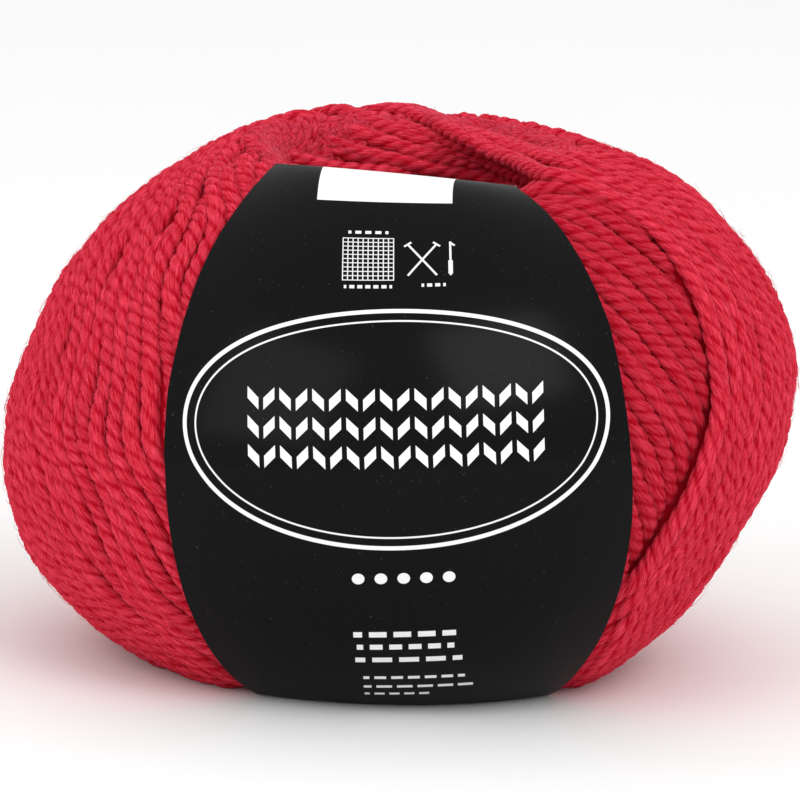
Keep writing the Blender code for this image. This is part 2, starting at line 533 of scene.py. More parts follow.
def covered_height(height, age, azimuth, section, on_right):
    """Strand height after going under the other half, and how far it is covered."""
    covered = np.zeros_like(height)
    fade = fade_of_layers(section)
    for other_is_right, groove in ((True, RIGHT_GROOVE), (False, LEFT_GROOVE)):
        beyond = wrapped(azimuth - newest_edge(other_is_right, section))
        for extra in (0, tau):
            other_age = np.maximum(beyond + extra, 0)
            newer = smooth_step(0, AGE_BLEND, age - other_age)
            past_edge = smooth_step(-EDGE_BEFORE, EDGE_AFTER, beyond + extra)
            share = newer * past_edge * (on_right != other_is_right)
            under = layer_height(other_age) * fade - 2 * STRAND_HALF_HEIGHT
            height = height + share * np.minimum(under - height, 0)
            covered = np.maximum(covered, share)
        before = np.exp(-((beyond / GROOVE_WIDTH) ** 2)) * (beyond < 0)
        groove_here = np.interp(section, GROOVE_SECTIONS, groove)
        height = height - groove_here * before * fade * (on_right != other_is_right)
    return height, covered


def strand_top(height, azimuth, section):
    """Height of the yarn's surface, pressed in under and beside the band."""
    beside = beside_band(azimuth, section)
    free = smooth_step(0, DENT_FADE, beside - BAND_EDGE_LIFT)
    height = free * height + (1 - free) * np.minimum(height, -UNDER_CARD)
    pressed = 1 - smooth_step(0, PRESS_FADE, beside)
    height = height + (1 - pressed) * side_shape(azimuth, section)
    return height - pressed * band_press(azimuth, section)


print("newest layer", round(layer_height(0) * 2000, 1), "mm over the oldest")

# %% [markdown]
# ## One side of a turn
#
# A strand that finds no room dives between its neighbours. The left's oldest
# strands lie in the shade of the right's stepped edge, so each side also says
# how much painted shade darkens its red there.

# %% The rising or the falling side of a turn
STRAND_TOP = 0.0011
DIVE_DEPTH = 0.0026
SOONER = 0.09
SOONER_SECTIONS = radians(25), radians(45)
# painted shade on the left's oldest strands, strongest beside the stepped edge
GROOVE_SHADE = 0.9
GROOVE_SHADE_WIDTH = radians(7)
GROOVE_SHADE_SECTIONS = radians(-15), radians(40)
OLD_SHADE = 0.55
OLD_SHADE_AGES = radians(146), radians(170)


def sunk_share(index, sections, on_right):
    """Like on_top, but on the left's shoulder a strand dives before the gap closes."""
    sooner = 0 if on_right else sooner_of_turn[index] * smooth_step(*SOONER_SECTIONS, sections)
    room_here = np.interp(sections, section_grid, room) - sooner
    return smooth_step(rank[index] - DIVE_SPREAD, rank[index] + DIVE_SPREAD, room_here)


def shade_of_left(age, azimuth, section):
    """Painted shade on the left's oldest strands, most of all beside the stepped edge."""
    before = np.minimum(wrapped(azimuth - newest_edge(True, section)), 0)
    beside_edge = np.exp(-((before / GROOVE_SHADE_WIDTH) ** 2))
    low = 1 - smooth_step(*GROOVE_SHADE_SECTIONS, section)
    old = smooth_step(*OLD_SHADE_AGES, age)
    return old * (OLD_SHADE + (GROOVE_SHADE - OLD_SHADE) * beside_edge * low)


def side_of_turn(sections, azimuths, index, on_right, upwards):
    """One side of a turn, on the ring: feet of the strand and its heights."""
    age = np.interp(sections, section_grid, place[index])
    share = np.interp(sections, section_grid, on_top[index])
    azimuths = azimuths + age
    height = layer_height(age) * fade_of_layers(sections) + STRAND_TOP
    height, covered = covered_height(height, age, azimuths, sections, on_right)
    height = height - DIVE_DEPTH * (1 - sunk_share(index, sections, on_right))
    side = {
        "foot": ring_point(azimuths, sections, 0),
        "up": outward_normal(azimuths, sections),
        "height": height,
        "raised": strand_top(height, azimuths, sections) - STRAND_HALF_HEIGHT,
        "beside": beside_band(azimuths, sections),
        "share": share,
        "covered": covered,
        "shade": (not on_right) * shade_of_left(age, azimuths, sections),
    }
    return side if upwards else {key: values[::-1] for key, values in side.items()}

# %% [markdown]
# ## The span over the hole
#
# Between its two sides a turn spans the hole. The older the turn is, the deeper
# its span sags into the hole, and beside the band it is pushed under the card.
# The funnel is the wall of the hole: its radius at each section angle.

# %% The two spans of a turn
PUSHED_RADIUS = 0.020
PUSH_REACH = 0.004
SAG_AGES = np.radians([0, 4, 15, 30, 60, 100, 150])
SAGS = np.array([0, 0, 0.001, 0.003, 0.0075, 0.0095, 0.011])
SAG_WANDER = 0.0010
SAG_WAVE_TURNS = 7
DEEPER_SAG = 0.0020
SAG_SKEW = 0.5

funnel_section = np.linspace(pi / 2, pi, STEPS_PER_QUARTER)
funnel_radius, _ = section_profile(funnel_section)


def span_of_turn(before, after, sign, turn_sag):
    """The straight span over the hole; beside the band it is pushed under the card."""
    share = np.linspace(0, 1, SPAN_STEPS)[1:-1]
    start = before["foot"][-1]
    end = after["foot"][0]
    foot = start + (end - start) * share[:, None]
    skewed = share + SAG_SKEW * share * (1 - share)
    deepest = turn_sag + DEEPER_SAG * (1 - before["share"][-1])
    dip = deepest * 4 * skewed * (1 - skewed)
    azimuth = np.arctan2(foot[:, 1], foot[:, 0])
    radius = np.maximum(np.hypot(foot[:, 0], foot[:, 1]), PUSHED_RADIUS)
    section = sign * np.interp(radius, funnel_radius[::-1], funnel_section[::-1])
    beside = beside_band(azimuth, section)
    pushed = 1 - smooth_step(0, PUSH_REACH, beside)
    weight = pushed[:, None]
    spanning = foot - sign * dip[:, None] * np.array([0, 0, 1])
    upward = np.broadcast_to(np.array([0, 0, sign], float), foot.shape)
    between = {
        key: before[key][-1] + (after[key][0] - before[key][-1]) * share
        for key in ("height", "raised", "share", "covered", "shade")
    }
    under_card = strand_top(between["height"], azimuth, section) - STRAND_HALF_HEIGHT
    return {
        **between,
        "foot": spanning + (ring_point(azimuth, section, 0) - spanning) * weight,
        "up": unit(upward + (outward_normal(azimuth, section) - upward) * weight),
        "raised": between["raised"] + (under_card - between["raised"]) * pushed,
        "beside": beside,
    }

# %% [markdown]
# ## Walking along the turns
#
# Now each turn is walked in equal steps. What lies too deep to be seen, under
# other strands or under the card, is marked, so that nothing is made of it.

# %% Every turn in equal steps
STEP_LENGTH = 0.0006
DEEP_UNDER_BAND = 0.007
HIDDEN_SHARE = 0.05
COVERED_SHARE = 0.97
KEPT_STEPS = 11
HEIGHT_WANDER = 0.00022
HEIGHT_WAVE = 0.03
PASS_WAVE_TURNS = 9
PASS_SETTLES_BY = radians(20)


def walk_turn(index):
    """One turn in equal steps: the centre line, its directions and what is hidden."""
    age = place[index].mean()
    sections, rising, falling = turn_angles(pass_above[index], pass_below[index], age)
    right = side_of_turn(sections, rising, index, True, True)
    left = side_of_turn(sections, falling, index, False, False)
    over = span_of_turn(right, left, 1, sag[index])
    under = span_of_turn(left, right, -1, sag[index])
    whole = {
        key: np.concatenate([part[key] for part in (right, over, left, under)])
        for key in right
    }
    gaps = np.linalg.norm(np.diff(whole["foot"], axis=0), axis=1)
    along = np.concatenate([[0], np.cumsum(gaps)])
    steps = np.arange(0, along[-1], STEP_LENGTH)
    walked = {}
    for key, values in whole.items():
        columns = values.reshape(len(values), -1).T
        walked[key] = np.stack([np.interp(steps, along, column) for column in columns], axis=1)
        if values.ndim == 1:
            walked[key] = walked[key][:, 0]
    raised = walked["raised"] + HEIGHT_WANDER * wander(1, steps, HEIGHT_WAVE)[0]
    hidden = (walked["share"] < HIDDEN_SHARE) | (walked["covered"] > COVERED_SHARE)
    near = np.convolve(~hidden, np.ones(2 * KEPT_STEPS + 1), mode="same") > 0.5
    return {
        "line": walked["foot"] + unit(walked["up"]) * raised[:, None],
        "up": walked["up"],
        "beside": walked["beside"],
        "steps": steps,
        "distance": steps + index * along[-1],
        "kept": near & (walked["beside"] > -DEEP_UNDER_BAND),
        # depth drives painted shade: diving, covered and shaded strands get a darker red
        "depth": (1 - walked["share"]) + walked["covered"] + walked["shade"],
    }


turn_numbers = np.arange(TURN_COUNT)
turn_ages = turn_numbers * pi / TURNS_PER_HALF
pass_wander = PASS_WANDER * wander(1, turn_numbers, PASS_WAVE_TURNS)[0]
pass_wander = pass_wander * smooth_step(0, PASS_SETTLES_BY, turn_ages)
pass_above = np.interp(turn_ages, PASS_AGES, PASSES) + pass_wander
pass_below = PASS_BELOW + PASS_WANDER * wander(1, turn_numbers, PASS_WAVE_TURNS)[0]
sooner_of_turn = rng.uniform(0, SOONER, TURN_COUNT)
sag_wander = SAG_WANDER * wander(1, turn_numbers, SAG_WAVE_TURNS)[0]
sag_wander = sag_wander * smooth_step(*OLD_PRODUCT_AGES, turn_ages)
sag = np.interp(turn_ages, SAG_AGES, SAGS) + sag_wander
turns = [walk_turn(index) for index in range(TURN_COUNT)]
kept_length = sum(turn["kept"].sum() for turn in turns) * STEP_LENGTH
print("yarn that shows:", round(kept_length, 1), "m in", TURN_COUNT, "turns")

# %% [markdown]
# ## A strand is three plies twisted together
#
# A strand's section has three lobes, one for each ply, and it turns as it goes
# along the strand. A curve with a bevel could make this too, but there are
# hundreds of lengths, so each group of turns is made from one flat grid: the
# rows of the grid are steps along the yarn, its columns go around the lobes,
# and the grid is rolled up around the strands' paths. The faces between the
# end of one length and the start of the next are deleted, and the seam and
# the pointed ends are merged, so that every length is a closed tube. Where the
# ball rests, the tubes are pressed flat by the floor.

# %% The rows of the grid along one turn
PLY_PITCH = 0.0085
PLY_WANDER = 1.3
PLY_WAVE = 0.06
SIDE_WANDER = 0.00036
SIDE_WAVE = 0.05
LOBES = (0.83, 0.95, 1.0, 0.95) * 3
TAPER_STEPS = 3
SMOOTHING_STEPS = 9
SHORTEST_STEPS = 8
FLOOR_CLEARANCE = 0.0001
CARD_CLEARANCE = 0.0005
LEAST_OVER_FLOOR = 0.0008
MERGE_DISTANCE = 0.000001


def smoothed(values):
    """Values averaged with their neighbours along the strand."""
    kernel = np.hanning(SMOOTHING_STEPS + 2)[1:-1]
    half = SMOOTHING_STEPS // 2
    padded = np.pad(values, half, mode="edge")
    return np.convolve(padded, kernel / kernel.sum(), mode="valid")


def strand_rows(turn, twist_start):
    """Rows of the grid for every length of one turn that shows."""
    marks = np.diff(np.concatenate([[0], turn["kept"].astype(int), [0]]))
    stretches = np.flatnonzero(marks).reshape(-1, 2)
    centre = np.stack([smoothed(column) for column in turn["line"].T], axis=1)
    along = unit(np.gradient(centre, axis=0))
    up = unit(turn["up"] - (turn["up"] * along).sum(axis=1, keepdims=True) * along)
    side = np.cross(along, up)
    centre = centre + side * SIDE_WANDER * wander(1, turn["steps"], SIDE_WAVE).T
    twist = tau * turn["steps"] / PLY_PITCH + twist_start
    twist = twist + PLY_WANDER * wander(1, turn["steps"], PLY_WAVE)[0]
    floor = np.where(turn["beside"] < DENT_FADE, CARD_CLEARANCE, FLOOR_CLEARANCE)
    centre[:, 2] = np.maximum(centre[:, 2], floor + LEAST_OVER_FLOOR)
    rows = {
        "centre": centre,
        "side": side * STRAND_HALF_WIDTH,
        "up": up * STRAND_HALF_HEIGHT,
        "twist": twist,
        "distance": turn["distance"],
        "depth": turn["depth"],
        "floor": floor,
    }
    for first, last in stretches:
        if last - first < SHORTEST_STEPS:
            continue
        steps_to_end = np.minimum(np.arange(last - first), np.arange(last - first)[::-1])
        part = {key: values[first:last] for key, values in rows.items()}
        part["size"] = np.sqrt(np.clip(steps_to_end / TAPER_STEPS, 0, 1))
        yield part


print("a twist every", PLY_PITCH * 1000, "mm")


# %% Rolling a grid up into tubes
def rolled_up(name, lengths, profile):
    """One mesh of closed tubes around all these lengths."""
    rows = {key: np.concatenate([part[key] for part in lengths]) for key in lengths[0]}
    length_of_row = np.repeat(np.arange(len(lengths)), [len(part["size"]) for part in lengths])
    row_count = len(length_of_row)
    columns = len(profile)
    mesh = flat_grid(name, columns, row_count - 1)
    place_on_grid = (mesh_coordinates(mesh)[:, :2] + 1) / 2
    column = np.rint(place_on_grid[:, 0] * columns).astype(int)
    row = np.rint(place_on_grid[:, 1] * (row_count - 1)).astype(int)
    reach = np.append(profile, profile[0])[column] * rows["size"][row]
    angle = tau * column / columns + rows["twist"][row]
    points = (
        rows["centre"][row]
        + rows["side"][row] * (reach * np.cos(angle))[:, None]
        + rows["up"][row] * (reach * np.sin(angle))[:, None]
    )
    points[:, 2] = np.maximum(points[:, 2], rows["floor"][row])
    move_points(mesh, points)
    corners = corner_vertices(mesh)
    onward = rows["distance"][row[corners]] / (tau * STRAND_HALF_WIDTH)
    add_uv_map(mesh, "strand", column[corners] / columns, onward)
    depth = mesh.attributes.new("depth", "FLOAT", "POINT")
    depth.data.foreach_set("value", rows["depth"][row].astype(np.float32))
    face_lengths = length_of_row[row[corners]].reshape(-1, 4)
    bridging = np.flatnonzero(face_lengths.min(axis=1) != face_lengths.max(axis=1))
    tubes = bmesh.new()
    tubes.from_mesh(mesh)
    tubes.faces.ensure_lookup_table()
    bridges = [tubes.faces[index] for index in bridging]
    bmesh.ops.delete(tubes, geom=bridges, context="FACES")
    bmesh.ops.remove_doubles(tubes, verts=tubes.verts, dist=MERGE_DISTANCE)
    tubes.to_mesh(mesh)
    tubes.free()
    mesh.shade_smooth()
    triangles = sum(len(face.vertices) - 2 for face in mesh.polygons)
    print(name, len(lengths), "lengths,", triangles, "triangles")
    return add_object(name, mesh)


# %% The turns, from the newest to the oldest
GROUPS = 4
strand_lengths = []
for turn in turns:
    strand_lengths.append(list(strand_rows(turn, rng.uniform(0, tau))))
row_totals = np.cumsum([sum(len(part["size"]) for part in parts) for parts in strand_lengths])
group_of_turn = np.minimum(row_totals * GROUPS // row_totals[-1], GROUPS - 1)
winding = []
for group in range(GROUPS):
    lengths = [
        part
        for index in np.flatnonzero(group_of_turn == group)
        for part in strand_lengths[index]
    ]
    winding.append(rolled_up(f"winding_{group + 1}", lengths, LOBES))

# %% [markdown]
# ## The strands in the hole
#
# The older turns passed closer to the middle, so the wall of the hole is made
# of strands that come in over the crest, touch the wall lengthwise and leave
# again, at every depth and in both directions. Each one is a U on the wall:
# deepest at its middle and rising to the crest at both ends.

# %% U-shaped turns on the wall of the hole
HOLE_TURNS = 140
HOLE_FROM = radians(97)
HOLE_SHALLOWEST = radians(108)
HOLE_DEEPEST = radians(177)
HOLE_SPAN = radians(76)
HOLE_BEND = 1.7
HOLE_TOP = 0.0010
HOLE_SINK = 0.0012
HOLE_STEPS = 64
HOLE_WAVE = 0.7
# HOLE_SHADE is painted shade: the deeper a U lies in the hole, the darker its red
HOLE_SHADE = 0.25
HOLE_LOBES = (0.82, 1.0, 0.97) * 3
BELOW_EVERY = 3


def hole_turn(index):
    """One U on the wall; every third one comes up from the lower rim."""
    share = (index + 0.5) / HOLE_TURNS
    sign = -1 if index % BELOW_EVERY == BELOW_EVERY - 1 else 1
    deepest = HOLE_SHALLOWEST + (HOLE_DEEPEST - HOLE_SHALLOWEST) * share
    middle = tau * GOLDEN_STEP * index
    way = 1 if index % 2 else -1
    across = np.linspace(-1, 1, HOLE_STEPS)
    section = sign * (deepest - (deepest - HOLE_FROM) * np.abs(across) ** HOLE_BEND)
    azimuth = middle + way * HOLE_SPAN * across
    along = np.linspace(0, 1, HOLE_STEPS)
    wavy = HEIGHT_WANDER * wander(1, along, HOLE_WAVE)[0]
    height = strand_top(np.full(HOLE_STEPS, HOLE_TOP - HOLE_SINK * share), azimuth, section)
    foot = ring_point(azimuth, section, 0)
    up = outward_normal(azimuth, section)
    gaps = np.linalg.norm(np.diff(foot, axis=0), axis=1)
    steps = np.concatenate([[0], np.cumsum(gaps)])
    beside = beside_band(azimuth, section)
    return {
        "line": foot + up * (height + wavy - STRAND_HALF_HEIGHT)[:, None],
        "up": up,
        "beside": beside,
        "steps": steps,
        "distance": steps + index,
        "kept": beside > -DEEP_UNDER_BAND,
        "depth": np.full(HOLE_STEPS, HOLE_SHADE * share),
    }


hole_lengths = [
    part
    for index in range(HOLE_TURNS)
    for part in strand_rows(hole_turn(index), rng.uniform(0, tau))
]
winding.append(rolled_up("winding_hole", hole_lengths, HOLE_LOBES))

# %% [markdown]
# ## The yarn further in
#
# Between the strands one sees more yarn, deep in shade; its red is painted
# darker than the strands' red, as painted shade. One closed ring just under
# them is enough, because only slits of it ever show. It follows the layers, so
# it is never far below the strands that lie over it.

# %% The inner yarn
INNER_DEPTH = 0.0020
INNER_DEPTH_IN_HOLE = 0.0030
INNER_IN_HOLE = radians(80), radians(100)
INNER_LIFT = 0.0012
INNER_AZIMUTH_STEPS = 240
INNER_SECTION_STEPS = 90


def inner_top(azimuth, section):
    """Height of the inner yarn: a strand below the newest layer at this place."""
    ages = [(azimuth - newest_edge(right, section)) % tau for right in (True, False)]
    newest_layer = layer_height(np.minimum(*ages)) * fade_of_layers(section)
    in_hole = smooth_step(*INNER_IN_HOLE, np.abs(section))
    depth = INNER_DEPTH + (INNER_DEPTH_IN_HOLE - INNER_DEPTH) * in_hole
    return newest_layer + STRAND_TOP - depth


bpy.ops.mesh.primitive_torus_add(
    major_segments=INNER_AZIMUTH_STEPS,
    minor_segments=INNER_SECTION_STEPS,
    major_radius=CREST_RADIUS,
    minor_radius=HOLE_RADIUS,
)
inner_yarn = bpy.context.object
inner_yarn.name = "inner_yarn"
inner_yarn.data.name = "inner_yarn"
torus = mesh_coordinates(inner_yarn.data)
torus_azimuth = np.arctan2(torus[:, 1], torus[:, 0])
torus_section = np.arctan2(torus[:, 2], np.hypot(torus[:, 0], torus[:, 1]) - CREST_RADIUS)
inner_height = strand_top(inner_top(torus_azimuth, torus_section), torus_azimuth, torus_section)
inner_points = ring_point(torus_azimuth, torus_section, inner_height)
inner_points[:, 2] = np.maximum(inner_points[:, 2], INNER_LIFT)
move_points(inner_yarn.data, inner_points)
inner_yarn.data.shade_smooth()
print("inner yarn", len(inner_yarn.data.polygons), "faces")

# %% [markdown]
# ## Loose fibres
#
# Spun yarn is hairy: short fibres leave a strand, arch over it and slip back
# or end in the air. A few thousand of them, each a thread under a tenth of a
# millimetre thick, make the outline soft. They are rolled up from a grid like
# the strands, but with three sides.

# %% Flyaway fibres
FIBRE_COUNT = 4400
FIBRE_ROWS = 8
FIBRE_HALF_WIDTH = 0.00004
FIBRE_LENGTH = (0.0015, 0.005)
FIBRE_ARCH = (0.0001, 0.00045)
FIBRE_LEAN = 1.1
FIBRE_SWING = 0.7
FIBRE_CURL = 0.0004
FIBRE_CURL_WAVES = (2, 7)
FIBRE_SIDES = (1.0, 1.0, 1.0)
FIBRE_TIP_SIZE = 0.5
FIBRE_ROOT_DEPTH = 0.0001
FREE_END_SHARE = 0.45
FREE_END_RISE = 2
FREE_END_BEND = 1.5
FIBRE_DEEPEST = 0.3
FIBRE_LEAST_RADIUS = 0.034
FIBRE_LOWEST = 0.004

surface = {
    key: np.concatenate([part[key] for parts in strand_lengths for part in parts])
    for key in ("centre", "side", "up", "depth", "floor", "distance")
}
outside_crest = np.hypot(surface["centre"][:, 0], surface["centre"][:, 1]) > FIBRE_LEAST_RADIUS
high_enough = surface["centre"][:, 2] > FIBRE_LOWEST
clear_of_band = surface["floor"] < CARD_CLEARANCE
near_surface = surface["depth"] < FIBRE_DEEPEST
roots = np.flatnonzero(near_surface & outside_crest & high_enough & clear_of_band)


def fibre():
    """One hair: it starts on a strand and arches along it, with or without a free end."""
    root = rng.choice(roots)
    side = unit(surface["side"][root])
    out = unit(surface["up"][root])
    along = np.cross(side, out) * rng.choice((-1, 1))
    lean = rng.uniform(-FIBRE_LEAN, FIBRE_LEAN)
    start = surface["centre"][root] + STRAND_HALF_WIDTH * np.sin(lean) * side
    start = start + STRAND_HALF_HEIGHT * np.cos(lean) * out
    heading = rng.normal(0, FIBRE_SWING)
    forward = along * np.cos(heading) + side * np.sin(heading)
    sideways = np.cross(forward, out)
    share = np.linspace(0, 1, FIBRE_ROWS)
    length = rng.uniform(*FIBRE_LENGTH)
    arch = rng.uniform(*FIBRE_ARCH)
    free = rng.random() < FREE_END_SHARE
    rise = arch * (share**FREE_END_BEND * FREE_END_RISE if free else 4 * share * (1 - share))
    waves = share * rng.uniform(*FIBRE_CURL_WAVES) + rng.uniform(0, tau)
    curl = FIBRE_CURL * np.sin(waves) * share
    centre = start + (length * share)[:, None] * forward
    centre = centre + (rise - FIBRE_ROOT_DEPTH)[:, None] * out
    centre = centre + curl[:, None] * sideways
    return {
        "centre": centre,
        "side": np.repeat(sideways[None] * FIBRE_HALF_WIDTH, FIBRE_ROWS, axis=0),
        "up": np.repeat(out[None] * FIBRE_HALF_WIDTH, FIBRE_ROWS, axis=0),
        "twist": np.zeros(FIBRE_ROWS),
        "size": np.append(np.linspace(1, FIBRE_TIP_SIZE, FIBRE_ROWS - 1), 0),
        "distance": length * share + surface["distance"][root],
        "depth": np.zeros(FIBRE_ROWS),
        "floor": np.full(FIBRE_ROWS, FLOOR_CLEARANCE),
    }


fibres = rolled_up("loose_fibres", [fibre() for _ in range(FIBRE_COUNT)], FIBRE_SIDES)

# %% [markdown]
# ## The card band
#
# The band is one strip of card, a third of a millimetre thick. It starts as a
# flat grid that is bent around the ring until its two ends meet in the hole,
# and Solidify gives it its thickness. Its cut edges stay sharp, because their
# grid edges are marked so. Card bends one way only: over the crest it lies in
# a straight fold from edge to edge, so its middle stands a little off the yarn
# there. Each corner of the grid keeps its distances on the flat card, in
# metres, as its place in the UV map for the print.

# %% The band, bent from a flat strip
CARD_THICKNESS = 0.0003
CARD_RAISED = 0.0007
CARD_EDGE_LIFT = 0.0002
CARD_STEPS_ACROSS = 28
CARD_STEPS_ALONG = 260
CARD_BRIDGE = 0.0014
BRIDGE_REACH = radians(48)
BRIDGE_MIDDLE = radians(88)
CARD_FLOOR = 0.0002

card_mesh = flat_grid("card_band", CARD_STEPS_ACROSS, CARD_STEPS_ALONG)
flat_card = mesh_coordinates(card_mesh)
card_section = flat_card[:, 1] * pi


def card_point(section, across_share):
    """A point of the card: its share of the half width, and its level."""
    radius, _ = section_profile(section)
    across = across_share * band_half_width(section) + band_centre(section)
    over_crest = 1 - smooth_step(0, BRIDGE_REACH, np.abs(wrapped(section - BRIDGE_MIDDLE)))
    lift = CARD_EDGE_LIFT * across_share**4 * (1 - over_crest)
    bridge = CARD_BRIDGE * (1 - across_share**2) * over_crest
    azimuth = FRONT + across / radius
    raised = CARD_RAISED + lift + bridge - band_press(azimuth, section)
    points = ring_point(azimuth, section, raised)
    points[..., 2] = np.maximum(points[..., 2], CARD_FLOOR + CARD_THICKNESS / 2)
    return points


middle_sections = np.linspace(-pi, pi, CARD_STEPS_ALONG + 1)
middle_line = card_point(middle_sections, np.zeros(CARD_STEPS_ALONG + 1))
middle_steps = np.linalg.norm(np.diff(middle_line, axis=0), axis=1)
up_the_card = np.concatenate([[0], np.cumsum(middle_steps)])
up_the_card -= np.interp(0, middle_sections, up_the_card)
card_points = card_point(card_section, flat_card[:, 0])
card_across = flat_card[:, 0] * band_half_width(card_section)
card_across += edge_share(card_section, -0.5, 0.5)
card_along = np.interp(card_section, middle_sections, up_the_card)
move_points(card_mesh, card_points)
card_corners = corner_vertices(card_mesh)
add_uv_map(card_mesh, "card", card_across[card_corners], card_along[card_corners])
closed = bmesh.new()
closed.from_mesh(card_mesh)
bmesh.ops.remove_doubles(closed, verts=closed.verts, dist=MERGE_DISTANCE)
bmesh.ops.recalc_face_normals(closed, faces=closed.faces)
for card_edge in closed.edges:
    card_edge.smooth = not card_edge.is_boundary
closed.to_mesh(card_mesh)
closed.free()
card_mesh.shade_smooth()
card_band = add_object("card_band", card_mesh)
thickness = card_band.modifiers.new("Card thickness", "SOLIDIFY")
thickness.thickness = CARD_THICKNESS
thickness.offset = 0
thickness.material_offset_rim = 1
card_length = middle_steps.sum()
widths = 2 * band_half_width((middle_sections[1:] + middle_sections[:-1]) / 2)
card_area = (widths * middle_steps).sum()
print("card:", round(card_length * 1000), "mm long,", round(widths.max() * 1000), "mm wide,",
      round(card_area * 10000), "square centimetres")

# %% [markdown]
# ## Materials as Python expressions
#
# A material is a tree of nodes. Written out link by link it is long and hard
# to read, so a small class wraps a socket and lets Python's operators add the
# Math nodes: 1 - mask becomes one Subtract node. Every other node comes from
# one method, which sets the node's settings first and then its sockets.

# %% Sockets that take part in expressions
class Signal:
    """A shader socket that adds, subtracts, multiplies and divides like a number."""

    def __init__(self, finish, socket):
        self.finish = finish
        self.socket = socket

    def __add__(self, other):
        return self.finish.maths("ADD", self, other)

    def __sub__(self, other):
        return self.finish.maths("SUBTRACT", self, other)

    def __rsub__(self, other):
        return self.finish.maths("SUBTRACT", other, self)

    def __mul__(self, other):
        return self.finish.maths("MULTIPLY", self, other)

    def __truediv__(self, other):
        return self.finish.maths("DIVIDE", self, other)

    def __pow__(self, other):
        return self.finish.maths("POWER", self, other)

    def __mod__(self, other):
        return self.finish.maths("FLOORED_MODULO", self, other)

    def __abs__(self):
        return self.finish.maths("ABSOLUTE", self)

    __radd__ = __add__
    __rmul__ = __mul__


# %% Finishes that are built from them
class Finish:
    """One material, with ways to add nodes to it."""

    def __init__(self, name, constants):
        self.material = bpy.data.materials.new(name)
        self.material.use_nodes = True
        self.tree = self.material.node_tree
        self.shader = self.tree.nodes["Principled BSDF"]
        self.feed(self.shader, constants)

    def feed(self, node, sockets):
        """Give a node's sockets their values or links."""
        for name, value in sockets.items():
            if isinstance(value, Signal):
                self.tree.links.new(value.socket, node.inputs[name])
            else:
                node.inputs[name].default_value = value

    def node(self, kind, settings, sockets, output=0):
        """A new node: settings and ramp stops first, then its sockets."""
        node = self.tree.nodes.new(kind)
        for name, value in settings.items():
            if name == "stops":
                for stop, (position, colour) in zip(node.color_ramp.elements, value):
                    stop.position = position
                    stop.color = colour
            else:
                setattr(node, name, value)
        self.feed(node, sockets)
        return Signal(self, node.outputs[output])

    def maths(self, operation, first, second=0.0):
        return self.node("ShaderNodeMath", {"operation": operation}, {0: first, 1: second})

    def clamped(self, value):
        settings = {"operation": "ADD", "use_clamp": True}
        return self.node("ShaderNodeMath", settings, {0: value, 1: 0.0})

    def mixed(self, factor, first, second):
        """A colour between two colours."""
        sockets = {0: factor, 6: first, 7: second}
        return self.node("ShaderNodeMix", {"data_type": "RGBA"}, sockets, output=2)

    def noise(self, vector, scale, detail=2.0):
        sockets = {"Vector": vector, "Scale": scale, "Detail": detail}
        return self.node("ShaderNodeTexNoise", {}, sockets)

    def bump(self, height, strength, distance):
        sockets = {"Height": height, "Strength": strength, "Distance": distance}
        return self.node("ShaderNodeBump", {}, sockets)

    def object_place(self):
        return self.node("ShaderNodeTexCoord", {}, {}, output=3)

    def uv_parts(self, uv_map):
        """The two coordinates of a UV map."""
        place = self.node("ShaderNodeUVMap", {"uv_map": uv_map}, {})
        return [self.node("ShaderNodeSeparateXYZ", {}, {0: place}, output=axis) for axis in (0, 1)]


def linear(red, green, blue):
    """A colour given as it looks on screen, 0 to 255, for a shader's socket."""
    shares = [part / 255 for part in (red, green, blue)]
    return (*[s / 12.92 if s <= 0.04045 else ((s + 0.055) / 1.055) ** 2.4 for s in shares], 1)


def mottled(name, scale, first, second, constants):
    """A plain finish whose colour wanders between two colours."""
    finish = Finish(name, constants)
    colour = finish.mixed(finish.noise(finish.object_place(), scale), first, second)
    finish.feed(finish.shader, {"Base Color": colour})
    return finish.material


# %% [markdown]
# ## The yarn's finish
#
# Wool is matt with a soft bright rim where the light grazes its fibres, which
# is what sheen does. The fibres run almost along the strand, across the slant
# of the plies, so the pattern reads the strand's own UV map: the distance
# around the strand, turned back against the twist, and the distance along it.
# The fibre streaks mix a lit and a shaded tone of the one red, so the real
# grain carries painted highlights and shade. Valleys between plies and strands
# that lie deep or in the shade get painted shade: a darker, fuller red.

# %% Yarn
# YARN_LIGHT and YARN_SHADE are a lit and a shaded tone of the one red: the fibre streaks mix them
# as painted highlights and shade on real grain, and ply valleys pull towards YARN_SHADE
YARN_LIGHT = linear(238, 76, 98)
YARN_MID = linear(208, 34, 58)
YARN_SHADE = linear(178, 4, 28)
YARN_PAINTED_SHADE = linear(142, 0, 16)
UNTWIST = 0.75 * tau * STRAND_HALF_WIDTH / PLY_PITCH
FIBRE_ACROSS = 38.0
FIBRE_ALONG = 6.0
TUFT_ACROSS = 11.0
TUFT_ALONG = 3.0
FIBRE_CONTRAST = 2.7
TUFT_CONTRAST = 0.6
MIDDLE_BRIGHTNESS = 0.52
VALLEY_PAINTED_SHADE = 0.45
MID_SHARE = 0.2
DEPTH_SHADE_SHARE = 0.55
VALLEY_SHADE_SHARE = 0.15
FIBRE_RELIEF = 1.2
TUFT_RELIEF = 0.5
RELIEF_STRENGTH = 0.8
RELIEF_DISTANCE = 0.0003
MATT_WOOL = {
    "Roughness": 0.95,
    "Specular IOR Level": 0.02,
    "Sheen Weight": 0.05,
    "Sheen Roughness": 0.5,
    "Sheen Tint": (1.0, 0.22, 0.30, 1),
    "Subsurface Weight": 0.35,
    "Subsurface Radius": (1.0, 0.2, 0.2),
    "Subsurface Scale": 0.0012,
}

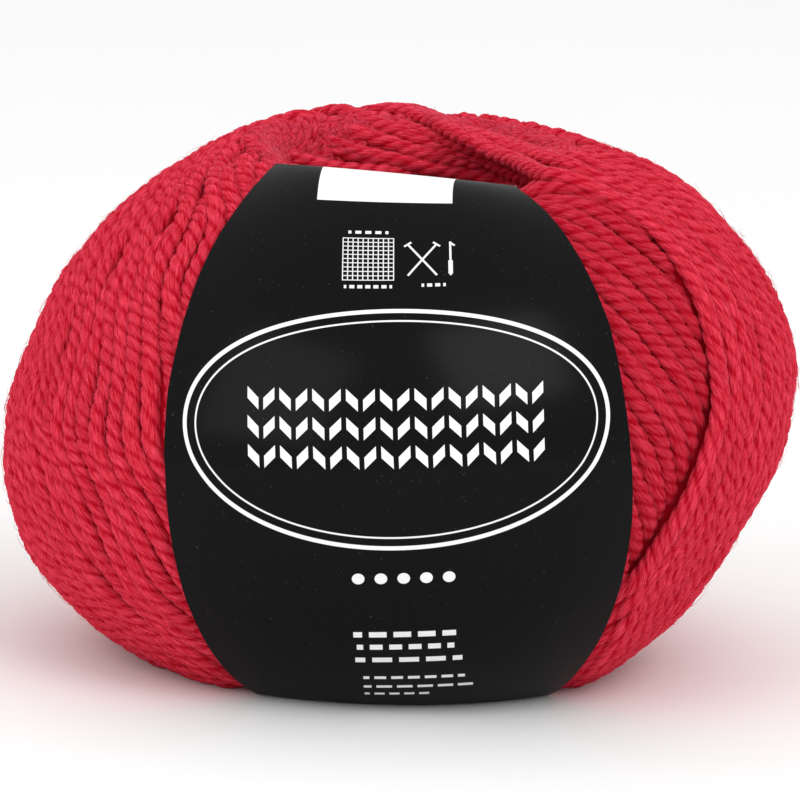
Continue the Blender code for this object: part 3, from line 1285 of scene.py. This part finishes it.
yarn = Finish("yarn", MATT_WOOL)
around, along = yarn.uv_parts("strand")
untwisted = (around + along * UNTWIST) * tau
sideways = yarn.maths("COSINE", untwisted) / tau
upwards = yarn.maths("SINE", untwisted) / tau


def streaks(across_scale, along_scale, detail):
    """Noise that is drawn out along the fibres."""
    sockets = {0: sideways * across_scale, 1: upwards * across_scale, 2: along * along_scale}
    return yarn.noise(yarn.node("ShaderNodeCombineXYZ", {}, sockets), 1.0, detail)


fibres_seen = streaks(FIBRE_ACROSS, FIBRE_ALONG, 3.0) - 0.5
tufts = streaks(TUFT_ACROSS, TUFT_ALONG, 1.0) - 0.5
# painted shade in the valleys between plies
valley = ((yarn.maths("COSINE", around * (3 * tau)) + 1) / 2) ** 4
depth = yarn.clamped(yarn.node("ShaderNodeAttribute", {"attribute_name": "depth"}, {}, output=2))
bright = fibres_seen * FIBRE_CONTRAST + tufts * TUFT_CONTRAST
bright = yarn.clamped(bright + MIDDLE_BRIGHTNESS - valley * VALLEY_PAINTED_SHADE)
# painted shade: strands that lie deep, covered or in shade, and ply valleys, turn a darker, fuller
# red
painted_shade_share = yarn.clamped(depth * DEPTH_SHADE_SHARE + valley * VALLEY_SHADE_SHARE)
yarn_colour = yarn.mixed(MID_SHARE, yarn.mixed(bright, YARN_SHADE, YARN_LIGHT), YARN_MID)
yarn_colour = yarn.mixed(painted_shade_share, yarn_colour, YARN_PAINTED_SHADE)
relief = fibres_seen * FIBRE_RELIEF + tufts * TUFT_RELIEF
yarn_bump = yarn.bump(relief, RELIEF_STRENGTH, RELIEF_DISTANCE)
yarn.feed(yarn.shader, {"Base Color": yarn_colour, "Normal": yarn_bump})
for piece in winding:
    piece.data.materials.append(yarn.material)

# %% Loose fibres and the yarn further in
HAIR_RED = linear(224, 58, 82)
# the inner yarn's two reds are darker than the strands' red: painted shade
INNER_SHADED_RED = linear(176, 8, 30)
INNER_SHADED_DARK = linear(140, 3, 18)
INNER_SCALE = 900.0

hair_matt = {"Base Color": HAIR_RED, "Roughness": 0.9, "Specular IOR Level": 0.05}
fibres.data.materials.append(Finish("loose_fibre", hair_matt).material)
inner_matt = {"Roughness": 1.0, "Specular IOR Level": 0.05}
inner_finish = mottled("inner_yarn", INNER_SCALE, INNER_SHADED_DARK, INNER_SHADED_RED, inner_matt)
inner_yarn.data.materials.append(inner_finish)

# %% [markdown]
# ## The card's finish and its print
#
# The card is printed black with a satin varnish, and the drawings on it are
# the bare white of the card. Each drawing is a distance in millimetres that is
# negative inside the drawing; the smallest of them all decides what is white.
# The print is a plain design of its own: a blank patch, a knitting gauge grid,
# needles and a hook, an oval frame around rows of knit stitches, a row of dots,
# and short dashes in place of small print.

# %% The print on the card
PRINT_EDGE = 0.06
PATCH = {"middle": (-1.7, 58.0), "half": (11.4, 8.6)}
GRID_MIDDLE = (-4.2, 37.0)
GRID_HALF = 4.15
GRID_CELLS = 10
GRID_LINE = 0.16
TOOL_LINE = 0.17
NEEDLES_MIDDLE = (4.6, 36.8)
NEEDLE_HALF_LENGTH = 3.9
NEEDLE_LEANS = radians(37), radians(-37)
NEEDLE_CAP = 0.72
HOOK_BARS = (
    {"middle": (9.2, 37.0), "half": (TOOL_LINE, 3.4), "lean": 0},
    {"middle": (9.2, 35.2), "half": (0.36, 1.3), "lean": 0},
    {"middle": (9.5, 39.9), "half": (TOOL_LINE, 0.55), "lean": radians(-50)},
)
OVAL_MIDDLE = (0.0, 7.4)
OVAL_HALF = (35.2, 19.7)
OVAL_LINE = 0.72
INNER_OVAL_HALF = (33.2, 17.9)
INNER_OVAL_LINE = 0.3
STITCH_PITCH = (5.4, 4.6)
STITCH_SLOPE = 0.95
STITCH_HALF_LEG = 0.95
STITCH_GAP = 0.42
STITCH_COLUMNS = 9
STITCH_ROWS = 3
DOT_ROW = {"middle": (0.7, -17.8), "half": (9.0, 2.0), "pitch": 3.6, "radius": 1.0}
DASH_ROWS = (
    {"middle": (-4.2, 42.4), "half": (3.3, 0.3), "pitch": 1.65, "share": 0.6},
    {"middle": (-4.2, 31.6), "half": (3.9, 0.3), "pitch": 1.3, "share": 0.62},
    {"middle": (6.4, 31.8), "half": (1.95, 0.3), "pitch": 1.3, "share": 0.62},
    {"middle": (0.7, -29.2), "half": (8.2, 0.6), "pitch": 3.9, "share": 0.72},
    {"middle": (0.8, -32.1), "half": (7.8, 0.6), "pitch": 3.1, "share": 0.66},
    {"middle": (1.3, -35.3), "half": (8.6, 0.6), "pitch": 4.3, "share": 0.74},
    {"middle": (2.1, -40.4), "half": (8.2, 0.42), "pitch": 2.7, "share": 0.7},
    {"middle": (2.9, -43.4), "half": (9.0, 0.42), "pitch": 3.3, "share": 0.76},
    {"middle": (-0.6, -46.2), "half": (5.4, 0.42), "pitch": 2.4, "share": 0.68},
)

SATIN_COAT = {"Specular IOR Level": 0.01, "Coat Weight": 0.20, "Coat Roughness": 0.20}

# %% [markdown]
# ## Each drawing as a distance
#
# Everything is made of a few forms: a bar, an oval line, and cells that repeat.
# The modulo of a place by the pitch gives the place within its cell, so one
# stitch, one dot or one dash is enough for a whole row of them.

# %% The distances and what is white
card = Finish("card", SATIN_COAT)
print_x, print_y = [part * 1000 for part in card.uv_parts("card")]


def smaller(first, second):
    return card.maths("MINIMUM", first, second)


def larger(first, second):
    return card.maths("MAXIMUM", first, second)


def square_root(value):
    return card.maths("SQRT", value)


def bar(middle, half, lean=0.0):
    """Distance to a rectangle that leans to the right by this angle."""
    x = print_x - middle[0]
    y = print_y - middle[1]
    across = x * cos(lean) - y * sin(lean)
    along = x * sin(lean) + y * cos(lean)
    return larger(abs(across) - half[0], abs(along) - half[1])


def oval_line(middle, half, line):
    """Distance to an oval line of even width."""
    x = print_x - middle[0]
    y = print_y - middle[1]
    reach = square_root((x / half[0]) ** 2 + (y / half[1]) ** 2)
    slope = square_root((x / half[0] ** 2) ** 2 + (y / half[1] ** 2) ** 2)
    return abs(reach * (reach - 1) / slope) - line / 2


def from_middle_of_cell(value, pitch):
    return abs(value % pitch - pitch / 2)


def gauge_grid():
    cell = 2 * GRID_HALF / GRID_CELLS
    x = print_x - GRID_MIDDLE[0] + GRID_HALF + cell / 2
    y = print_y - GRID_MIDDLE[1] + GRID_HALF + cell / 2
    lines = smaller(from_middle_of_cell(x, cell), from_middle_of_cell(y, cell)) - GRID_LINE / 2
    half = GRID_HALF + GRID_LINE / 2
    return larger(lines, bar(GRID_MIDDLE, (half, half)))


def knit_stitches():
    """Rows of V shapes, as on the right side of a knitted piece."""
    width, height = STITCH_PITCH
    x = print_x - OVAL_MIDDLE[0] + width / 2
    from_column = from_middle_of_cell(x, width)
    level = print_y - OVAL_MIDDLE[1] - (from_column - width / 4) * STITCH_SLOPE
    leg = from_middle_of_cell(level + height / 2, height) - STITCH_HALF_LEG
    side = abs(from_column - width / 4) - width / 4 + STITCH_GAP
    rows = abs(level) - STITCH_ROWS * height / 2
    columns = abs(x - width / 2) - STITCH_COLUMNS * width / 2
    return larger(larger(leg, side), larger(rows, columns))


def needle(lean):
    """A knitting needle: a thin line with a cap across its upper end."""
    x, y = NEEDLES_MIDDLE
    cap = (x + NEEDLE_HALF_LENGTH * sin(lean), y + NEEDLE_HALF_LENGTH * cos(lean))
    shaft = bar(NEEDLES_MIDDLE, (TOOL_LINE, NEEDLE_HALF_LENGTH), lean)
    return smaller(shaft, bar(cap, (NEEDLE_CAP, TOOL_LINE), lean))


def dots():
    x = from_middle_of_cell(print_x - DOT_ROW["middle"][0], DOT_ROW["pitch"])
    x = x - DOT_ROW["pitch"] / 2
    y = print_y - DOT_ROW["middle"][1]
    discs = square_root(x**2 + y**2) - DOT_ROW["radius"]
    return larger(discs, bar(DOT_ROW["middle"], DOT_ROW["half"]))


def dashes(row):
    x = print_x - row["middle"][0] + row["half"][0] + row["pitch"] / 2
    broken = from_middle_of_cell(x, row["pitch"]) - row["pitch"] * row["share"] / 2
    return larger(broken, bar(row["middle"], row["half"]))


drawings = [
    bar(PATCH["middle"], PATCH["half"]),
    gauge_grid(),
    *[needle(lean) for lean in NEEDLE_LEANS],
    *[bar(**part) for part in HOOK_BARS],
    oval_line(OVAL_MIDDLE, OVAL_HALF, OVAL_LINE),
    oval_line(OVAL_MIDDLE, INNER_OVAL_HALF, INNER_OVAL_LINE),
    knit_stitches(),
    dots(),
    *[dashes(row) for row in DASH_ROWS],
]
nearest = drawings[0]
for drawing in drawings[1:]:
    nearest = smaller(nearest, drawing)
white = card.clamped(0.5 - nearest / PRINT_EDGE)
print(len(drawings), "drawings on the card")

# %% Satin varnish, dust and the card's edge
CARD_BLACK = linear(4, 4, 5)
CARD_WHITE = linear(240, 240, 242)
DUST = linear(52, 52, 52)
CARD_CORE = linear(150, 150, 150)
SPECK_SCALE = 2600.0
SPECK_LEVEL = 0.80
SPECK_SHARPNESS = 12
SATIN_ROUGHNESS = 0.34
SATIN_SCALE = 60.0
SATIN_WANDER = 0.06
BARE_ROUGHER = 0.15
WAVE_SCALE = 45.0
WAVE_STRENGTH = 0.12
WAVE_HEIGHT = 0.0004
EDGE_SCALE = 1500.0

on_card = card.object_place()
specks = card.clamped((card.noise(on_card, SPECK_SCALE, 0.0) - SPECK_LEVEL) * SPECK_SHARPNESS)
card_colour = card.mixed(white, card.mixed(specks, CARD_BLACK, DUST), CARD_WHITE)
satin = SATIN_ROUGHNESS + (card.noise(on_card, SATIN_SCALE) - 0.5) * SATIN_WANDER
satin = satin + white * BARE_ROUGHER
card_bump = card.bump(card.noise(on_card, WAVE_SCALE, 1.0), WAVE_STRENGTH, WAVE_HEIGHT)
card.feed(card.shader, {"Base Color": card_colour, "Roughness": satin, "Normal": card_bump})
card_mesh.materials.append(card.material)
edge_matt = {"Roughness": 0.9, "Specular IOR Level": 0.1}
card_mesh.materials.append(mottled("card_edge", EDGE_SCALE, CARD_CORE, CARD_WHITE, edge_matt))

# %% [markdown]
# ## What rides on the imported model
#
# Every piece rides on the body it belongs to, and the imported solid that it
# stands for is hidden.

# %% Bodies and replaced solids
for piece in [*winding, inner_yarn, fibres]:
    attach(piece, "root")
    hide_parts("yarn_ball")
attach(card_band, "root")
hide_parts("paper_band")

# %% [markdown]
# ## Floor and light
#
# A plain pale floor, an even pale sky and two large soft lamps: one high in
# front on the right, which models the strands, and a weaker one on the left.

# %% Floor, sky and lamps
FLOOR_HALF_SIZE = 6
FLOOR_SCALE = 4.0
FLOOR_TONES = linear(246, 246, 246), linear(250, 250, 250)
FLOOR_MATT = {"Roughness": 0.9, "Specular IOR Level": 0.1}
SKY_WHITE = (1, 1, 1, 1)
SKY_STRENGTH = 0.95
LAMPS = (
    {"name": "key", "place": (0.55, -0.85, 1.0), "size": 0.8, "watts": 4.5},
    {"name": "fill", "place": (-0.75, -0.8, 0.7), "size": 0.8, "watts": 2.5},
)

floor = add_object("floor", flat_grid("floor", 1, 1, FLOOR_HALF_SIZE))
floor.data.materials.append(mottled("floor", FLOOR_SCALE, *FLOOR_TONES, FLOOR_MATT))
floor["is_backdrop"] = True

sky = bpy.data.worlds.new("studio")
sky.use_nodes = True
background = sky.node_tree.nodes["Background"]
background.inputs["Color"].default_value = SKY_WHITE
background.inputs["Strength"].default_value = SKY_STRENGTH
bpy.context.scene.world = sky


def add_lamp(name, place, size, watts):
    data = bpy.data.lights.new(name, "AREA")
    data.energy = watts
    data.size = size
    lamp = add_object(name, data)
    aim = (VIEW_TARGET - Vector(place)).to_track_quat("-Z", "Y").to_matrix()
    lamp.matrix_world = Matrix.Translation(Vector(place)) @ aim.to_4x4()


for lamp in LAMPS:
    add_lamp(**lamp)
bpy.context.scene.view_settings.view_transform = "Standard"
print(len(LAMPS), "lamps")

# %% The sizes of the packed model and of the dressed scene
new_low, new_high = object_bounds()
sizes = {
    "cad": [list(cad_low), list(cad_high)],
    "visual": [list(new_low), list(new_high)],
}
for name, (low, high) in sizes.items():
    print(name, [round((b - a) * 1000, 1) for a, b in zip(low, high)], "mm")
